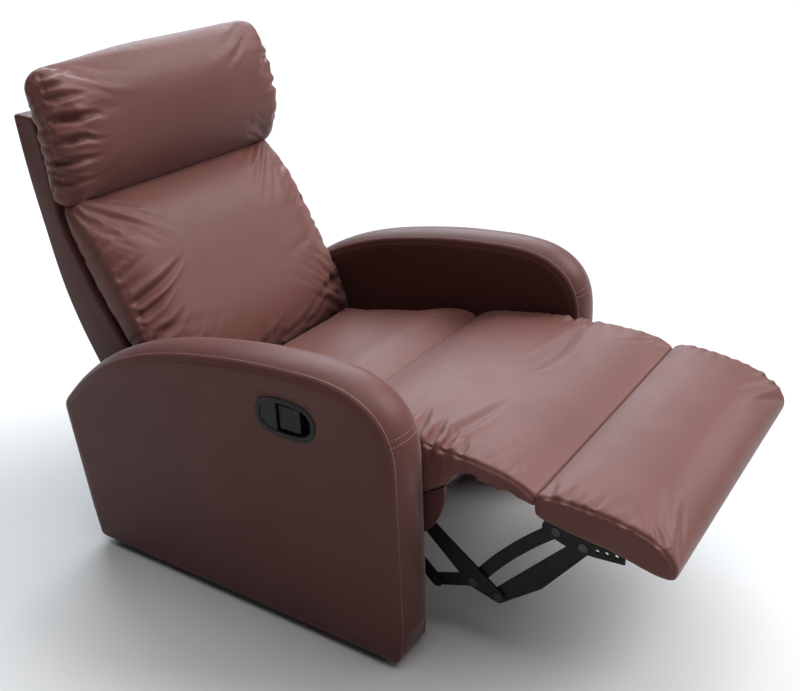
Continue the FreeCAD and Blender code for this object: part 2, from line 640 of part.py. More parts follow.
def back():
    """The upholstered shell, the frame rails inside it, the brackets and the two front cushions."""
    closed = [BACK_SEAM, [BACK_SEAM[-1], BACK_REAR[0]], BACK_REAR, [BACK_REAR[-1], BACK_SEAM[0]]]
    shell = prism(closed, -PAD_HALF, PAD_HALF)
    inner = shifted(BACK_REAR, -COVER_WALL)
    inner[0] = (inner[0][0], 855.0)
    corners = [inner[-1], (700, 200), (500, 200), (500, 855), (700, 855), inner[0]]
    room = [inner] + [list(pair) for pair in zip(corners, corners[1:])]
    hollow = prism(room, -PAD_HALF + COVER_WALL, PAD_HALF - COVER_WALL)
    save("back_cover", shell.cut(hollow))
    rail_out = LAYER_CRANK - 0.5
    rail_in = rail_out - BACK_RAIL_THICK
    for name, side in SIDES:
        front = shifted(BACK_SEAM, 3)
        rear = shifted(BACK_SEAM, 33)[::-1]
        front[-1] = (859, 850)
        rear[0] = (889, 850)
        rail = prism([front, [front[-1], rear[0]], rear, [rear[-1], front[0]]], rail_in, rail_out, side)
        save("back_side_rail_" + name, rail)
        hub = plate([BACK_PIVOT, BRACKET_KNEE], LINK_RADIUS, LAYER_CRANK, LAYER_CRANK + STEEL, side)
        stem = plate([BRACKET_KNEE, BRACKET_TOP], LINK_RADIUS, LAYER_CRANK, LAYER_CRANK + STEEL, side)
        bracket = hub.fuse(stem).removeSplitter()
        bracket = drilled(bracket, [BACK_PIVOT], PIN_RADIUS + PIN_CLEARANCE, 270, 290, side)
        save("back_bracket_" + name, bracket)
    cross_rails = []
    for d0, d1, h0, h1 in ((668, 692, 305, 340), (824, 848, 600, 640), (862, 886, 815, 848)):
        cross_rails.append(block(-rail_in, rail_in, d0, d1, h0, h1))
    save("back_cross_rails", *cross_rails)
    bolts = []
    for _, side in SIDES:
        for p in (BRACKET_KNEE, BRACKET_TOP):
            bolts.append(pin(p, 7.0, LAYER_CRANK + STEEL, LAYER_CRANK + STEEL + 3.5, side))
    save("back_bolts", *bolts)
    straps = []
    for low, high in (((704, 434), (736, 484)), ((762, 525), (790, 579)), ((834, 700), (841, 750))):
        face = shifted([low, high], 0.6)
        behind = shifted([high, low], 2.2)
        straps.append(prism(polygon(face + behind), -270, 270))
    save("back_straps", *straps)
    lumbar_rear = [(650, 300), (695, 424), (755, 517), (796, 596), (824, 655), (833, 698)]
    lumbar_front = [(833, 698), (794, 697), (745, 640), (694, 548), (645, 462), (600, 378), (580, 326)]
    lumbar = [lumbar_rear, lumbar_front, [lumbar_front[-1], lumbar_rear[0]]]
    save("lumbar_cushion", prism(lumbar, -LUMBAR_HALF, LUMBAR_HALF))
    head_rear = [(834, 706), (842, 785), (853, 869), (864, 925)]
    head_front = [(864, 925), (850, 945), (825, 951), (797, 938), (775, 880), (766, 810), (772, 745),
                  (797, 708), (834, 706)]
    save("head_cushion", prism([head_rear, head_front], -HEAD_HALF, HEAD_HALF))


arms()
feet()
base_frame()
release_handle()
release_cable()
latch_bracket()
seat_structure()
seat_springs()
seat_cushions()
footrest()
linkage()
back()
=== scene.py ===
import json
import math

import bmesh
import bpy
import numpy as np
from mathutils import Matrix, Vector


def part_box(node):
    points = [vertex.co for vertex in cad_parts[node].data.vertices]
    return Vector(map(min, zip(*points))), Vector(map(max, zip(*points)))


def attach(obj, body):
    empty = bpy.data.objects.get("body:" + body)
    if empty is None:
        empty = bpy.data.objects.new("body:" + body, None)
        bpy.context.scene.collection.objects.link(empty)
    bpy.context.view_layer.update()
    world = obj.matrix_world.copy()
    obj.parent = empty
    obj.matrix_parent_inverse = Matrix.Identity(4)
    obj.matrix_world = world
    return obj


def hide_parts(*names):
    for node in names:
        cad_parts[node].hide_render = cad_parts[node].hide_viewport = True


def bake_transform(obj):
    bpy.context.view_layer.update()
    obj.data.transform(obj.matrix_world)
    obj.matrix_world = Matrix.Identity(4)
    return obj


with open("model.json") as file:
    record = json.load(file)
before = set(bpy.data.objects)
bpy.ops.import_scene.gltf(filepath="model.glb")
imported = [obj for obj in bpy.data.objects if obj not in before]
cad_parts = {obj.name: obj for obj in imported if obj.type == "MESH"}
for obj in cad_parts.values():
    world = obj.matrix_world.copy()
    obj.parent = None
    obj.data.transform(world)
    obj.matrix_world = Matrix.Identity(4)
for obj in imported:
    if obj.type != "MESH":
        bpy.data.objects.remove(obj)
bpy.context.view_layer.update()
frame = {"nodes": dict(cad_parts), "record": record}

# The looks of a leather recliner armchair: padded arms, a seat in three sewn sections that runs on over
# the footrest, a lower back cushion, a headrest pillow, the back's shell, and the materials of its parts.
# Side views are drawn as (depth, height) in millimetres, where depth runs backwards from the arms' front.

MM = 0.001
ARM_LOW, ARM_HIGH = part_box("arm_cover_left")
ARM_FRONT = ARM_LOW.y
ARM_BOTTOM = ARM_LOW.z / MM
ARM_IN = ARM_LOW.x / MM
ARM_OUT = ARM_HIGH.x / MM


# ---------------------------------------------------------------- lines
def smooth_line(points, step=5.0):
    """A natural cubic through the points, sampled about every step."""
    p = np.array(points, float)
    gaps = np.linalg.norm(np.diff(p, axis=0), axis=1)
    n = len(p)
    system = np.eye(n)
    right = np.zeros_like(p)
    for i in range(1, n - 1):
        system[i, i - 1:i + 2] = gaps[i - 1], 2 * (gaps[i - 1] + gaps[i]), gaps[i]
        right[i] = 6 * ((p[i + 1] - p[i]) / gaps[i] - (p[i] - p[i - 1]) / gaps[i - 1])
    bend = np.linalg.solve(system, right)
    out = []
    for i in range(n - 1):
        h = gaps[i]
        t = np.linspace(0, h, max(2, int(h / step)), endpoint=False)[:, None]
        slope = (p[i + 1] - p[i]) / h - h * (2 * bend[i] + bend[i + 1]) / 6
        out.append(p[i] + slope * t + bend[i] * t ** 2 / 2 + (bend[i + 1] - bend[i]) * t ** 3 / (6 * h))
    return np.vstack(out + [p[-1:]])


def even(line, step, closed=True):
    """The line with its points spaced evenly, about a step apart."""
    line = np.vstack([line, line[:1]]) if closed else line
    run = np.concatenate([[0], np.cumsum(np.linalg.norm(np.diff(line, axis=0), axis=1))])
    count = max(8, int(round(run[-1] / step)))
    where = np.linspace(0, run[-1], count, endpoint=not closed)
    return np.stack([np.interp(where, run, line[:, k]) for k in range(line.shape[1])], axis=1)


def soften(loop, reach):
    """Rounds the corners of an evenly spaced closed loop; reach is counted in its points."""
    offsets = np.arange(-round(3 * reach), round(3 * reach) + 1)
    weights = np.exp(-0.5 * (offsets / reach) ** 2)
    return sum(w * np.roll(loop, o, axis=0) for w, o in zip(weights / weights.sum(), offsets))


def closed_loop(runs, step=5.0, reach=2):
    """One even closed loop from open runs of side-view points, with its corners softened."""
    joined = np.vstack([smooth_line(run)[:-1] for run in runs])
    return soften(even(joined, step), reach)


def outward(loop):
    """Unit normals of a closed loop, pointing away from its inside."""
    along = np.roll(loop, -1, axis=0) - np.roll(loop, 1, axis=0)
    normal = np.stack([along[:, 1], -along[:, 0]], axis=1)
    normal /= np.linalg.norm(normal, axis=1, keepdims=True)
    area = np.sum(loop[:, 0] * np.roll(loop[:, 1], -1) - np.roll(loop[:, 0], -1) * loop[:, 1])
    return normal if area > 0 else -normal


def place(x, side_view):
    """Side-view points in millimetres at x, as row-frame points in metres."""
    x, side_view = np.atleast_1d(x), np.atleast_2d(side_view)
    count = max(len(x), len(side_view))
    x = np.broadcast_to(x, count)
    side_view = np.broadcast_to(side_view, (count, 2))
    return np.stack([x * MM, ARM_FRONT + side_view[:, 0] * MM, side_view[:, 1] * MM], axis=1)


# ---------------------------------------------------------------- meshes
def make_piece(name, points, faces, material):
    mesh = bpy.data.meshes.new(name)
    mesh.from_pydata([tuple(p) for p in points], [], faces)
    work = bmesh.new()
    work.from_mesh(mesh)
    bmesh.ops.recalc_face_normals(work, faces=work.faces)
    work.to_mesh(mesh)
    work.free()
    mesh.shade_smooth()
    mesh.materials.append(material)
    piece = bpy.data.objects.new(name, mesh)
    bpy.context.scene.collection.objects.link(piece)
    return piece


def stack_faces(rings, count):
    """Quads between rings of count points each, and a face over each end."""
    faces = []
    for r in range(rings - 1):
        for i in range(count):
            j = (i + 1) % count
            faces.append((r * count + i, r * count + j, (r + 1) * count + j, (r + 1) * count + i))
    faces.append(tuple(range(count))[::-1])
    faces.append(tuple(range((rings - 1) * count, rings * count)))
    return faces


def coords(piece):
    out = np.zeros(len(piece.data.vertices) * 3, np.float32)
    piece.data.vertices.foreach_get("co", out)
    return out.reshape(-1, 3).astype(float)


def normals(piece):
    out = np.zeros(len(piece.data.vertices) * 3, np.float32)
    piece.data.vertex_normals.foreach_get("vector", out)
    return out.reshape(-1, 3).astype(float)


def set_coords(piece, points):
    piece.data.vertices.foreach_set("co", points.astype(np.float32).ravel())
    piece.data.update()


def bake_modifiers(piece):
    """Replaces the piece's mesh with what its modifiers make of it."""
    shape = piece.evaluated_get(bpy.context.evaluated_depsgraph_get())
    mesh = bpy.data.meshes.new_from_object(shape)
    piece.modifiers.clear()
    piece.data = mesh
    mesh.shade_smooth()


def loft(name, loop, half, material, rounding=20.0):
    """A closed pad: the side-view loop swept across the chair, with rounded ends."""
    edge = rounding * (1 - np.cos(np.linspace(0, np.pi / 2, 6)))
    inner = np.linspace(-1, 1, 25) * (half - rounding)
    drawn_in = [rounding - math.sqrt(max(0, rounding ** 2 - (rounding - e) ** 2)) for e in edge[:-1]]
    steps = [(-half + e, d) for e, d in zip(edge[:-1], drawn_in)]
    stations = steps + [(x, 0.0) for x in inner] + [(-x, d) for x, d in steps[::-1]]
    away = outward(loop)
    rings = [place(x, loop - away * drawn) for x, drawn in stations]
    return make_piece(name, np.vstack(rings), stack_faces(len(rings), len(loop)), material)


def widened(points, stations):
    """The points scaled across the chair, by factors given at depths in rising order."""
    depths, factors = zip(*stations)
    out = points.copy()
    out[:, 0] *= np.interp((points[:, 1] - ARM_FRONT) / MM, depths, factors)
    return out


def side_seams(loop, half, rounding, turn, keep):
    """The seam lines round a loft's two ends, where keep(loop, outward normals) holds.

    turn is how far round the rounded end the seam lies, in degrees: 0 is the pad's face, 90 its flat end.
    """
    across = rounding * (1 - math.sin(math.radians(turn)))
    inset = rounding * (1 - math.cos(math.radians(turn)))
    away = outward(loop)
    wanted = keep(loop, away)
    start = int(np.argmax(wanted & ~np.roll(wanted, 1)))
    run = [(start + i) % len(loop) for i in range(int(np.sum(wanted)))]
    line = loop[run] - away[run] * inset
    return [place(side * (half - across), line) for side in (-1, 1)]


# ---------------------------------------------------------------- soft goods
CLOTH_GRID = 6.0             # the spacing of the cloth's points
CLOTH_FRAMES = 20
SEAM_GRIP = 7.0              # how far from a seam its hold on the cloth reaches
FOLD_SAG = 0.06              # how far a wrinkle's line bows, as a share of its length


def remesh(piece, voxel):
    change = piece.modifiers.new("remesh", "REMESH")
    change.mode = "VOXEL"
    change.voxel_size = voxel * MM
    bake_modifiers(piece)


def inflate(piece, hold, seams=(), cap=22.0):
    """Blows the leather up over its filling: cloth under pressure, which moves at most by cap.

    hold(points, normals) gives each point's share from 0, free, to 1, fixed; the seams hold it as well.
    """
    remesh(piece, CLOTH_GRID)
    start = coords(piece)
    weights = hold(start, normals(piece))
    for seam in seams:
        gap = to_line(start, seam)[0]
        weights = np.maximum(weights, 0.95 * np.exp(-(gap / (SEAM_GRIP * MM)) ** 2))
    group = piece.vertex_groups.new(name="held")
    for i, w in enumerate(weights):
        if w > 0.01:
            group.add([i], float(w), "REPLACE")
    cloth = piece.modifiers.new("cloth", "CLOTH")
    s = cloth.settings
    s.quality = 5
    s.mass = 0.35
    s.tension_stiffness = 30
    s.compression_stiffness = 30
    s.shear_stiffness = 12
    s.bending_stiffness = 1.5
    s.air_damping = 2
    s.use_pressure = True
    s.uniform_pressure_force = 4.0
    s.vertex_group_mass = "held"
    s.effector_weights.gravity = 0
    cloth.point_cache.frame_start = 1
    cloth.point_cache.frame_end = CLOTH_FRAMES
    for step in range(1, CLOTH_FRAMES + 1):
        bpy.context.scene.frame_set(step)
    bake_modifiers(piece)
    piece.vertex_groups.clear()
    move = coords(piece) - start
    size = np.linalg.norm(move, axis=1, keepdims=True)
    limit = cap * MM
    move *= np.where(size > 1e-9, limit * np.tanh(size / limit) / np.maximum(size, 1e-9), 1.0)
    set_coords(piece, start + move)
    bpy.context.scene.frame_set(1)
    finer = piece.modifiers.new("finer", "SUBSURF")
    finer.levels = finer.render_levels = 1
    bake_modifiers(piece)


def to_line(points, line):
    """Each point's distance to a polyline, and how far along the polyline it is nearest, in metres."""
    best = np.full(len(points), 1e9)
    along = np.zeros(len(points))
    run = 0.0
    for a, b in zip(line[:-1], line[1:]):
        d = b - a
        length = np.linalg.norm(d)
        t = np.clip((points - a) @ d / length ** 2, 0, 1)
        gap = np.linalg.norm(points - a - t[:, None] * d, axis=1)
        near = gap < best
        best[near] = gap[near]
        along[near] = run + t[near] * length
        run += length
    return best, along, run


def groove(piece, line, width, depth):
    """Pulls a seam into the leather along a line."""
    p = coords(piece)
    gap = to_line(p, line)[0]
    move = -depth * np.exp(-(gap / (width * MM)) ** 2)
    set_coords(piece, p + normals(piece) * (move * MM)[:, None])


def gather(piece, line, spacing, reach, height, seed, fade=0.12, lean=0.25):
    """Puckers that run away from a seam: creases across the line, deepest at it and uneven in size."""
    chance = np.random.default_rng(seed)
    p = coords(piece)
    gap, along, run = to_line(p, line)
    count = max(3, int(run / (spacing * MM)))
    centres = (np.arange(count) + chance.uniform(0.15, 0.85, count)) * run / count
    sizes = chance.uniform(0.3, 1.0, count)
    reaches = reach * MM * chance.uniform(0.55, 1.6, count)
    widths = spacing * MM * chance.uniform(0.2, 0.34, count)
    leans = chance.uniform(-lean, lean, count)
    ends = np.clip(np.minimum(along, run - along) / (fade * run + 1e-9), 0, 1)
    total = np.zeros(len(p))
    for centre, size, far, wide, slant in zip(centres, sizes, reaches, widths, leans):
        off = (along - centre - slant * gap) / (wide * (1 + 0.7 * gap / far))
        crease = -np.exp(-off ** 2) + 0.5 * np.exp(-(off / 2.3) ** 2)
        total += size * crease * np.exp(-(gap / far) ** 1.6)
    set_coords(piece, p + normals(piece) * (height * MM * ends * total)[:, None])


def fold(piece, line, width, depth, shoulder=0.45, tail=0.75):
    """One wrinkle: a valley between two raised shoulders, which fades towards the far end of its line."""
    p = coords(piece)
    gap, along, run = to_line(p, line)
    share = along / run
    taper = np.clip(np.minimum(share / 0.12, (1 - share) / tail), 0, 1)
    taper = taper * taper * (3 - 2 * taper)
    d = gap / (width * MM * (0.55 + 0.45 * taper))
    move = -np.exp(-d ** 2) + shoulder * np.exp(-((d - 1.9) / 0.9) ** 2)
    set_coords(piece, p + normals(piece) * (move * depth * MM * taper)[:, None])


def creased(piece, folds):
    """Puts in single wrinkles, each given by its ends as (x, depth, height), its width and its depth."""
    for first, last, width, depth in folds:
        a = place(first[0], first[1:])[0]
        b = place(last[0], last[1:])[0]
        nearest = int(np.argmin(np.linalg.norm(coords(piece) - a, axis=1)))
        sag = np.cross(b - a, normals(piece)[nearest]) * FOLD_SAG
        straight = a + np.linspace(0, 1, 9)[:, None] * (b - a)
        bent = straight + sag * np.sin(np.linspace(0, np.pi, 9))[:, None]
        fold(piece, on_surface(piece, bent), width, depth)


def on_surface(piece, line):
    """The line's points moved to the nearest place on the piece's surface."""
    return np.array([piece.closest_point_on_mesh(Vector(q))[1] for q in line])


def stitch_row(name, line, ups, material, length=4.6, gap=2.0, thick=0.55):
    """A row of thread stitches, each a small flattened bead lying along the line."""
    path = even(np.hstack([line, ups]), (length + gap) * MM, closed=False)
    ring = [(math.cos(a), math.sin(a)) for a in np.linspace(0, 2 * math.pi, 6, endpoint=False)]
    profile = [(-0.5, 0.25), (-0.36, 0.85), (0.0, 1.0), (0.36, 0.85), (0.5, 0.25)]
    points, faces = [], []
    for here, after in zip(path[:-1], path[1:]):
        spot = (here[:3] + after[:3]) / 2
        along = after[:3] - here[:3]
        along /= np.linalg.norm(along)
        up = here[3:6] / np.linalg.norm(here[3:6])
        across = np.cross(along, up)
        base = len(points)
        for run, wide in profile:
            for c, s in ring:
                round_it = (across * c * 1.2 + up * s * 0.8) * wide * thick * MM
                points.append(spot + along * run * length * MM + round_it)
        faces += [tuple(base + i for i in f) for f in stack_faces(len(profile), len(ring))]
    return make_piece(name, np.array(points), faces, material)


# ---------------------------------------------------------------- materials
def grey(level):
    return (level,) * 3


def new_material(name):
    material = bpy.data.materials.new(name)
    material.use_nodes = True
    tree = material.node_tree
    return material, tree.nodes, tree.links, tree.nodes["Principled BSDF"]


def noise(nodes, links, place_out, scale, detail=3.0, roughness=0.55):
    node = nodes.new("ShaderNodeTexNoise")
    node.inputs["Scale"].default_value = scale
    node.inputs["Detail"].default_value = detail
    node.inputs["Roughness"].default_value = roughness
    links.new(place_out, node.inputs["Vector"])
    return node.outputs["Fac"]


def ramp(nodes, links, source, stops):
    node = nodes.new("ShaderNodeValToRGB")
    stop_list = node.color_ramp.elements
    for stop, (position, colour) in zip(stop_list, (stops[0], stops[-1])):
        stop.position, stop.color = position, (*colour, 1)
    for position, colour in stops[1:-1]:
        stop_list.new(position).color = (*colour, 1)
    links.new(source, node.inputs["Fac"])
    return node.outputs["Color"]


def spread(nodes, links, source, low, high):
    """The source's 0.3 to 0.7 spread over low to high."""
    node = nodes.new("ShaderNodeMapRange")
    node.inputs["From Min"].default_value = 0.3
    node.inputs["From Max"].default_value = 0.7
    node.inputs["To Min"].default_value = low
    node.inputs["To Max"].default_value = high
    links.new(source, node.inputs["Value"])
    return node.outputs["Result"]


def bump(nodes, links, height, strength, distance, onto=None):
    node = nodes.new("ShaderNodeBump")
    node.inputs["Strength"].default_value = strength
    node.inputs["Distance"].default_value = distance
    links.new(height, node.inputs["Height"])
    if onto:
        links.new(onto, node.inputs["Normal"])
    return node.outputs["Normal"]


def leather(name, dark, mid, light):
    """Coated leather: fine pebbled grain, faint creasing, and slow shifts of tone and polish."""
    material, nodes, links, shader = new_material(name)
    where = nodes.new("ShaderNodeTexCoord").outputs["Object"]
    slow = noise(nodes, links, where, 5.0, 2.0)
    tone = ramp(nodes, links, slow, [(0.3, dark), (0.5, mid), (0.7, light)])
    links.new(tone, shader.inputs["Base Color"])
    polish = spread(nodes, links, noise(nodes, links, where, 22.0, 4.0), 0.40, 0.47)
    links.new(polish, shader.inputs["Roughness"])
    pebbles = nodes.new("ShaderNodeTexVoronoi")
    pebbles.feature = "SMOOTH_F1"
    pebbles.inputs["Scale"].default_value = 620.0
    links.new(where, pebbles.inputs["Vector"])
    creases = noise(nodes, links, where, 90.0, 5.0, 0.6)
    creased_normal = bump(nodes, links, creases, 0.12, 0.0006)
    grain = bump(nodes, links, pebbles.outputs["Distance"], 0.25, 0.00025, creased_normal)
    links.new(grain, shader.inputs["Normal"])
    shader.inputs["IOR"].default_value = 1.21
    shader.inputs["Sheen Weight"].default_value = 0.18
    shader.inputs["Sheen Roughness"].default_value = 0.3
    shader.inputs["Sheen Tint"].default_value = (0.86, 0.9, 1.0, 1)
    return material


def coated_metal(name, dark, light, metallic, rough):
    """Pressed steel under paint or plating: faint orange peel, dust-fine specks, uneven polish."""
    material, nodes, links, shader = new_material(name)
    where = nodes.new("ShaderNodeTexCoord").outputs["Object"]
    tone = ramp(nodes, links, noise(nodes, links, where, 30.0, 5.0), [(0.35, dark), (0.65, light)])
    links.new(tone, shader.inputs["Base Color"])
    polish = spread(nodes, links, noise(nodes, links, where, 60.0, 4.0), *rough)
    links.new(polish, shader.inputs["Roughness"])
    specks = noise(nodes, links, where, 700.0, 2.0)
    links.new(bump(nodes, links, specks, 0.08, 0.0003), shader.inputs["Normal"])
    shader.inputs["Metallic"].default_value = metallic
    shader.inputs["IOR"].default_value = 1.25
    return material


def moulded(name, dark, light, rough, grain=0.2):
    """Moulded plastic or rubber with a fine spark-eroded texture."""
    material, nodes, links, shader = new_material(name)
    where = nodes.new("ShaderNodeTexCoord").outputs["Object"]
    tone = ramp(nodes, links, noise(nodes, links, where, 12.0), [(0.3, dark), (0.7, light)])
    links.new(tone, shader.inputs["Base Color"])
    polish = spread(nodes, links, noise(nodes, links, where, 40.0), *rough)
    links.new(polish, shader.inputs["Roughness"])
    sparks = noise(nodes, links, where, 1400.0, 2.0)
    links.new(bump(nodes, links, sparks, grain, 0.0002), shader.inputs["Normal"])
    shader.inputs["IOR"].default_value = 1.25
    return material


def wood(name, dark, light):
    """Sawn timber: rings stretched along the length, fine fibres."""
    material, nodes, links, shader = new_material(name)
    where = nodes.new("ShaderNodeTexCoord").outputs["Object"]
    stretch = nodes.new("ShaderNodeMapping")
    stretch.inputs["Scale"].default_value = (30.0, 3.0, 30.0)
    links.new(where, stretch.inputs["Vector"])
    rings = noise(nodes, links, stretch.outputs["Vector"], 1.6, 5.0, 0.65)
    links.new(ramp(nodes, links, rings, [(0.35, dark), (0.65, light)]), shader.inputs["Base Color"])
    links.new(bump(nodes, links, rings, 0.3, 0.0005), shader.inputs["Normal"])
    shader.inputs["Roughness"].default_value = 0.75
    return material


def woven(name, dark, light, scale):
    """A plain weave of two thread directions."""
    material, nodes, links, shader = new_material(name)
    where = nodes.new("ShaderNodeTexCoord").outputs["Object"]
    threads = []
    for axis in ("X", "Z"):
        wave = nodes.new("ShaderNodeTexWave")
        wave.bands_direction = axis
        wave.inputs["Scale"].default_value = scale
        wave.inputs["Distortion"].default_value = 0.6
        links.new(where, wave.inputs["Vector"])
        threads.append(wave.outputs["Fac"])
    mix = nodes.new("ShaderNodeMath")
    mix.operation = "MULTIPLY"
    links.new(threads[0], mix.inputs[0])
    links.new(threads[1], mix.inputs[1])
    tone = ramp(nodes, links, mix.outputs["Value"], [(0.0, dark), (1.0, light)])
    links.new(tone, shader.inputs["Base Color"])
    links.new(bump(nodes, links, mix.outputs["Value"], 0.5, 0.0004), shader.inputs["Normal"])
    shader.inputs["Roughness"].default_value = 0.85
    return material


def floor_material():
    material, nodes, links, shader = new_material("studio_floor")
    where = nodes.new("ShaderNodeTexCoord").outputs["Object"]
    tone = ramp(nodes, links, noise(nodes, links, where, 1.5), [(0.3, grey(0.48)), (0.7, grey(0.50))])
    links.new(tone, shader.inputs["Base Color"])
    shader.inputs["Roughness"].default_value = 0.7
    shader.inputs["Specular IOR Level"].default_value = 0.2
    return material


# The arms' leather is the seat's leather made darker, so that the arms' shaded outer sides come out dark:
# painted shade.
SHADE_DARKENED_ARM_LEATHER = leather("arm_leather", (0.084, 0.033, 0.029), (0.089, 0.035, 0.031), (0.095, 0.038, 0.033))
SEAT_LEATHER = leather("seat_leather", (0.108, 0.044, 0.037), (0.115, 0.047, 0.040), (0.123, 0.051, 0.043))
BACK_LEATHER = leather("back_leather", (0.078, 0.031, 0.027), (0.084, 0.033, 0.029), (0.09, 0.036, 0.031))
THREAD = moulded("thread", (0.20, 0.11, 0.09), (0.32, 0.19, 0.15), (0.5, 0.7), 0.5)
NODE_MATERIALS = {
    "black_steel": coated_metal("black_steel", grey(0.006), (0.011, 0.011, 0.012), 0.0, (0.34, 0.5)),
    "fastener_steel": coated_metal("fastener_steel", grey(0.03), (0.07, 0.07, 0.075), 0.85, (0.3, 0.45)),
    "spring_steel": coated_metal("spring_steel", (0.25, 0.25, 0.26), (0.42, 0.42, 0.43), 1.0, (0.3, 0.5)),
    "timber": wood("timber", (0.36, 0.22, 0.11), (0.58, 0.40, 0.23)),
    "dust_cloth": woven("dust_cloth", grey(0.006), (0.03, 0.028, 0.028), 500.0),
    "webbing": woven("webbing", grey(0.02), grey(0.09), 350.0),
    "black_plastic": moulded("black_plastic", grey(0.008), grey(0.013), (0.45, 0.6)),
    "handle_plastic": moulded("handle_plastic", grey(0.010), grey(0.015), (0.34, 0.46)),
    "cable_housing": moulded("cable_housing", grey(0.012), grey(0.02), (0.5, 0.6)),
    "arm_leather": SHADE_DARKENED_ARM_LEATHER,
    "seat_leather": SEAT_LEATHER,
    "back_leather": BACK_LEATHER,
}


def dress_cad_nodes():
    """Every CAD node gets the finish of its record slot."""
    for part in frame["record"]["subparts"]:
        mesh = frame["nodes"][part["node"]].data
        mesh.materials.clear()
        mesh.materials.append(NODE_MATERIALS[part["material_slot"]])


# ---------------------------------------------------------------- arms
ARM_TOP = [(4, 402), (12, 452), (35, 490), (71, 515), (125, 529), (211, 530), (315, 523), (401, 511),
           (485, 495), (584, 464), (669, 422), (751, 358), (790, 319)]
ARM_SPINE = ((230, 230), (530, 215))
ARM_CROWN = 17.0             # how far the band over the top rises along its middle
ARM_PUFF = 2.0               # how far the side panels swell
PANEL_EDGE = 4.0             # how far the panels' outermost rings lie from the band's edge
CROWN_POWER = 2.4
BAND_SHARES = (-0.965, -0.925, -0.88, -0.82, -0.78, -0.72, -0.5, -0.25, 0,
               0.25, 0.5, 0.72, 0.78, 0.82, 0.88, 0.925, 0.965)
STITCH_SHARE = 0.80          # where the rows of thread lie, as a share of the band's half width
THREAD_LIFT = 0.35
CROSS_SEAM_HEIGHT = 452
HANDLE_LOW, HANDLE_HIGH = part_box("handle_cup")
HANDLE_SQUARENESS = 2.3      # the power of the hole's superellipse; 2 would be a plain ellipse


def arm_loop():
    rear = [(790, 319), (751, ARM_BOTTOM)]
    floor = [(751, ARM_BOTTOM), (0, ARM_BOTTOM)]
    front = [(0, ARM_BOTTOM), (4, 402)]
    return closed_loop([ARM_TOP, rear, floor, front], step=5.0, reach=1.6)


def crown_rise(loop, share):
    """How far the band stands above the loop: nothing at the floor, and most at the band's middle."""
    return ARM_CROWN * np.clip((loop[:, 1] - ARM_BOTTOM - 6) / 60, 0, 1) * (1 - abs(share) ** CROWN_POWER)


def cross_seam(loop):
    """The place in the loop of the seam that crosses the band on the arm's front."""
    return int(np.argmin(np.abs(loop[:, 1] - CROSS_SEAM_HEIGHT) + 1000 * (loop[:, 0] > 60)))


def toward_spine(loop):
    """Unit directions from the loop to the nearest place on the arm's spine, and the distances."""
    a, b = (np.array(p, float) for p in ARM_SPINE)
    t = np.clip((loop - a) @ (b - a) / ((b - a) @ (b - a)), 0, 1)
    gap = a + t[:, None] * (b - a) - loop
    size = np.linalg.norm(gap, axis=1)
    return gap / size[:, None], size


def arm(name, side):
    """One arm: a flat padded panel on each side, and a crowned band over the top and down the front."""
    loop = arm_loop()
    away = outward(loop)
    inward, reach = toward_spine(loop)
    half = (ARM_OUT - ARM_IN) / 2
    middle = (ARM_OUT + ARM_IN) / 2
    handle_at = (HANDLE_LOW + HANDLE_HIGH) / 2
    handle_at = np.array([(handle_at.y - ARM_FRONT) / MM, handle_at.z / MM])
    shifts = [inward * (reach * share)[:, None] for share in (0.93, 0.75, 0.55, 0.38, 0.25)]
    shifts += [inward * inset for inset in (26.0, 18.0, 12.0, 8.0, 5.5, 4.0)]

    def panel(sign):
        made = []
        for shift in shifts:
            where = loop + shift
            depth = np.linalg.norm(shift, axis=1) - PANEL_EDGE
            puff = ARM_PUFF * (1 - np.exp(-depth / 9.0)) - 1.6 * np.exp(-depth / 1.6)
            if side < 0 and sign > 0:
                from_handle = np.linalg.norm((where - handle_at) / np.array([1.6, 1.0]), axis=1)
                puff = puff - 3.0 * np.exp(-(from_handle / 48.0) ** 4)
            made.append((sign * (half + puff), where))
        return made

    rings = panel(-1)
    for share in BAND_SHARES:
        lip = 1.3 * math.exp(-((abs(share) - 0.87) / 0.05) ** 2)
        lip -= 2.6 * max(0.0, (abs(share) - 0.9) / 0.065) ** 2
        rise = crown_rise(loop, share) + lip
        rings.append((share * half, loop + away * rise[:, None]))
    rings += panel(1)[::-1]
    points = np.vstack([place(side * (middle + x), where) for x, where in rings])
    return make_piece(name, points, stack_faces(len(rings), len(loop)), SHADE_DARKENED_ARM_LEATHER)


def handle_hole(piece):
    """Opens the right arm's outer panel behind the handle cup's rim."""
    count = 64
    centre = (HANDLE_LOW + HANDLE_HIGH) / 2
    half = ((HANDLE_HIGH.y - HANDLE_LOW.y) / 2 - 0.005, (HANDLE_HIGH.z - HANDLE_LOW.z) / 2 - 0.005)
    angles = np.linspace(0, 2 * math.pi, count, endpoint=False)
    c, s = np.cos(angles), np.sin(angles)
    power = 2 / HANDLE_SQUARENESS
    along, up = np.sign(c) * np.abs(c) ** power, np.sign(s) * np.abs(s) ** power
    rings = []
    for x in (HANDLE_LOW.x - 0.02, HANDLE_HIGH.x + 0.002):
        hole = [np.full(count, x), centre.y + half[0] * along, centre.z + half[1] * up]
        rings.append(np.stack(hole, axis=1))
    cutter = make_piece("handle_cutter", np.vstack(rings), stack_faces(2, count), SHADE_DARKENED_ARM_LEATHER)
    cut = piece.modifiers.new("cut", "BOOLEAN")
    cut.operation = "DIFFERENCE"
    cut.solver = "EXACT"
    cut.object = cutter
    bake_modifiers(piece)
    bpy.data.objects.remove(cutter)


